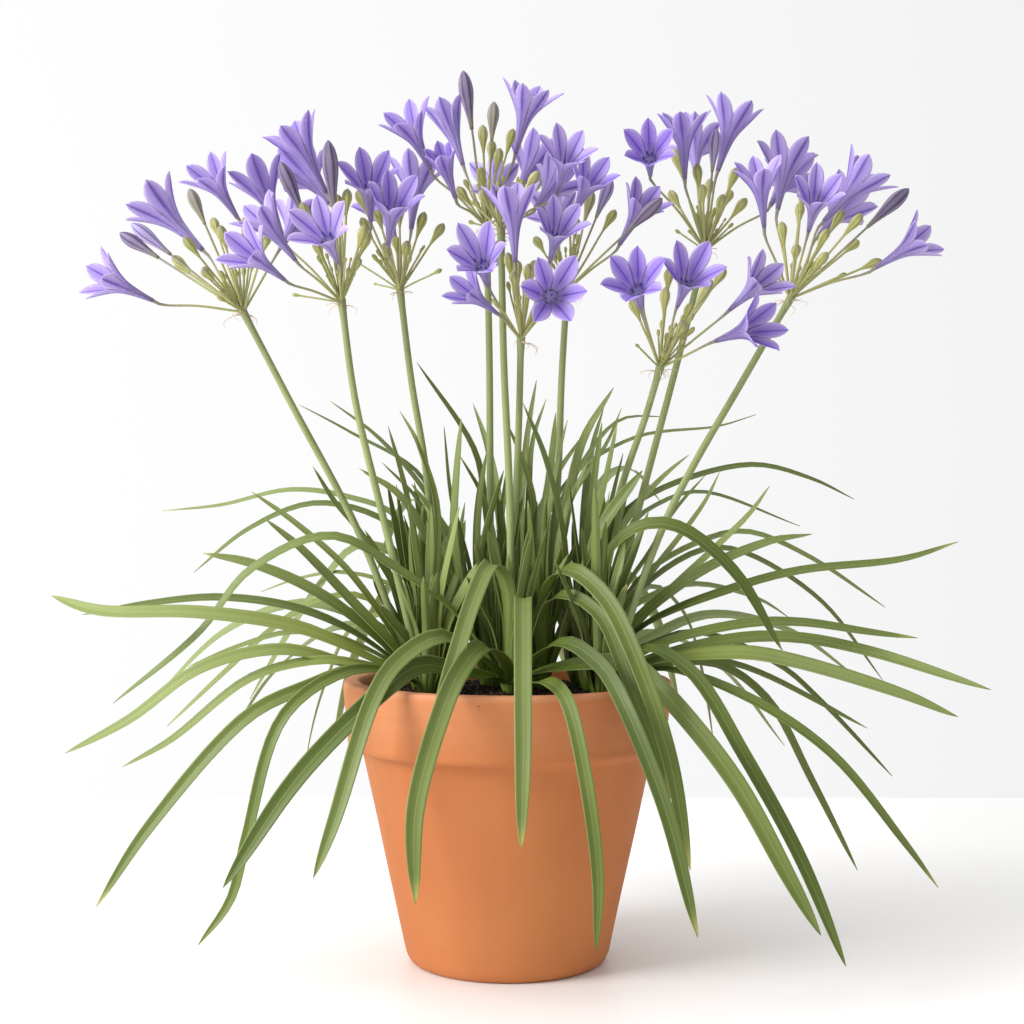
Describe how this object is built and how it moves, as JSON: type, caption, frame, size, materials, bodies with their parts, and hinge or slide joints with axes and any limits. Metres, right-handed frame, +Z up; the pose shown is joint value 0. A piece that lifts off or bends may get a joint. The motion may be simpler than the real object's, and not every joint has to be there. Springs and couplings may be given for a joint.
{
  "type": "potted flowering bulb plant",
  "caption": "Potted triteleia: violet funnel flowers in loose umbels on slender stems above arching grassy leaves, in a banded clay pot.",
  "frame": {"origin": "centre of the pot's foot, on the floor", "axes": "+Z up along the pot's axis, front of the pot towards -Y, the viewer's right is +X"},
  "size_m": [0.4664, 0.28, 0.458],
  "materials": {
    "clay": "unglazed matte",
    "soil": "rough",
    "leaf": "satin",
    "tepal": "satin"
  },
  "bodies": {
    "root": {"pot": "clay", "soil": "soil", "clump_a": "leaf", "bloom_a1": "tepal", "bloom_a2": "tepal", "bloom_a3": "tepal", "bloom_a4": "tepal", "clump_b": "leaf", "bloom_b1": "tepal", "bloom_b2": "tepal", "bloom_b3": "tepal", "bloom_b4": "tepal", "bloom_b5": "tepal", "bloom_b6": "tepal", "bloom_b7": "tepal", "clump_c": "leaf", "bloom_c1": "tepal", "bloom_c2": "tepal", "bloom_c3": "tepal", "clump_d": "leaf", "bloom_d1": "tepal", "bloom_d2": "tepal", "bloom_d3": "tepal", "bloom_d4": "tepal", "bloom_d5": "tepal", "clump_e": "leaf", "bloom_e1": "tepal", "bloom_e2": "tepal", "bloom_e3": "tepal", "clump_f": "leaf", "bloom_f1": "tepal", "bloom_f2": "tepal", "bloom_f3": "tepal", "bloom_f4": "tepal", "bloom_f5": "tepal", "bloom_f6": "tepal", "clump_g": "leaf", "bloom_g1": "tepal", "bloom_g2": "tepal", "bloom_g3": "tepal", "bloom_g4": "tepal", "bloom_g5": "tepal", "clump_h": "leaf", "bloom_h1": "tepal", "bloom_h2": "tepal", "bloom_h3": "tepal", "bloom_h4": "tepal", "bloom_h5": "tepal", "clump_i": "leaf", "bloom_i1": "tepal", "bloom_i2": "tepal", "bloom_i3": "tepal", "bloom_i4": "tepal", "bloom_i5": "tepal", "bloom_i6": "tepal", "clump_j": "leaf", "bloom_j1": "tepal", "bloom_j2": "tepal", "bloom_j3": "tepal"}
  },
  "joints": []
}
